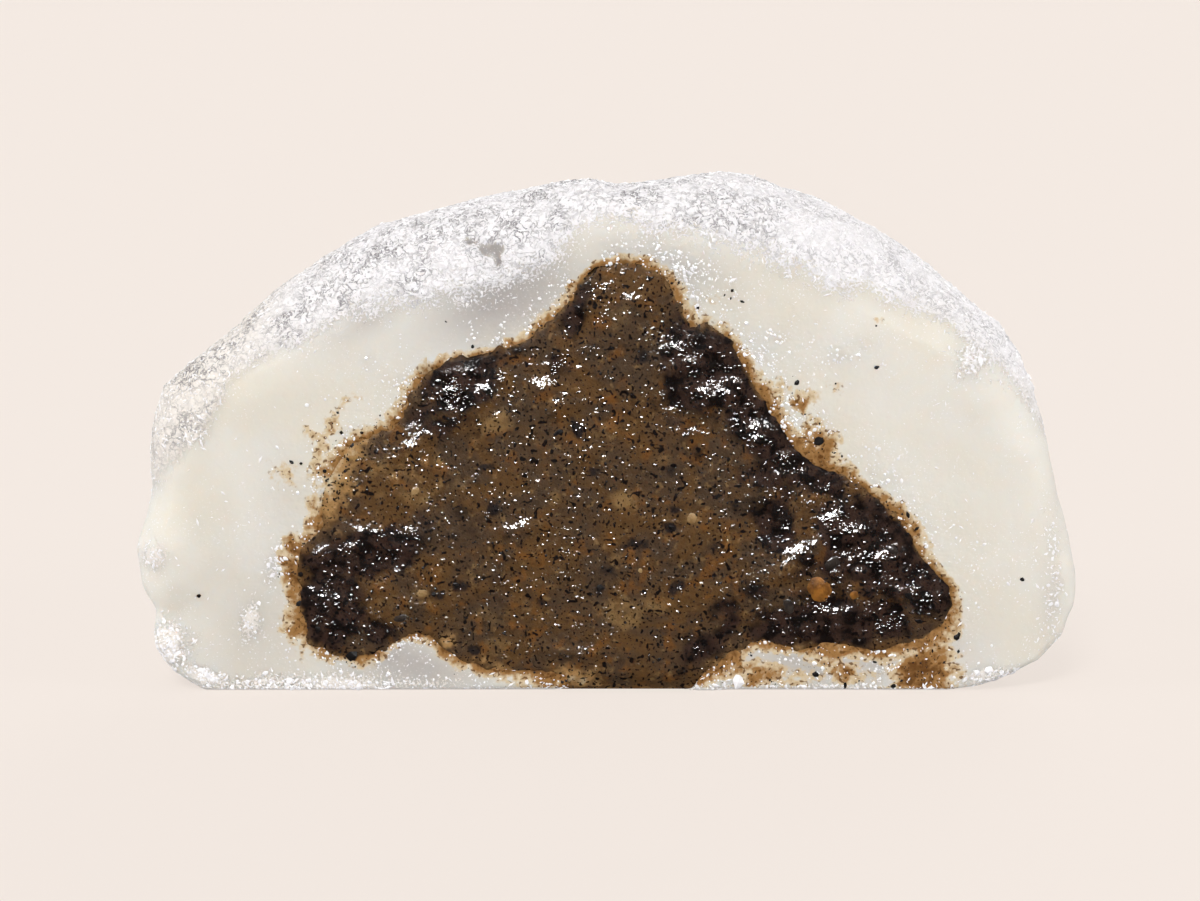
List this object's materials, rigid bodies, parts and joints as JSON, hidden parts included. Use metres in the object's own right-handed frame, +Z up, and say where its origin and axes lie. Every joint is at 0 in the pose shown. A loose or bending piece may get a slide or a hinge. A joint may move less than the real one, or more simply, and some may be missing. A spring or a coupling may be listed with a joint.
{
  "type": "mochi rice cake half",
  "caption": "Half of a soft rice-dough cake, cut through to show a lump of ground sesame filling, resting on its flat base with the cut face upright.",
  "frame": {"origin": "middle of the underside of the part's box, on the surface that it stands on", "axes": "+Z up; +X to the right as the cut face is seen; the cut face looks along -Y and the rounded back along +Y"},
  "size_m": [0.0604, 0.0296, 0.0328],
  "materials": {
    "mochi_dough": "translucent moist rice dough, dusted white with starch outside",
    "sesame_filling": "wet, coarse brown-black sesame paste"
  },
  "bodies": {
    "root": {"mochi_dough": "mochi_dough", "sesame_filling": "sesame_filling"}
  },
  "joints": []
}
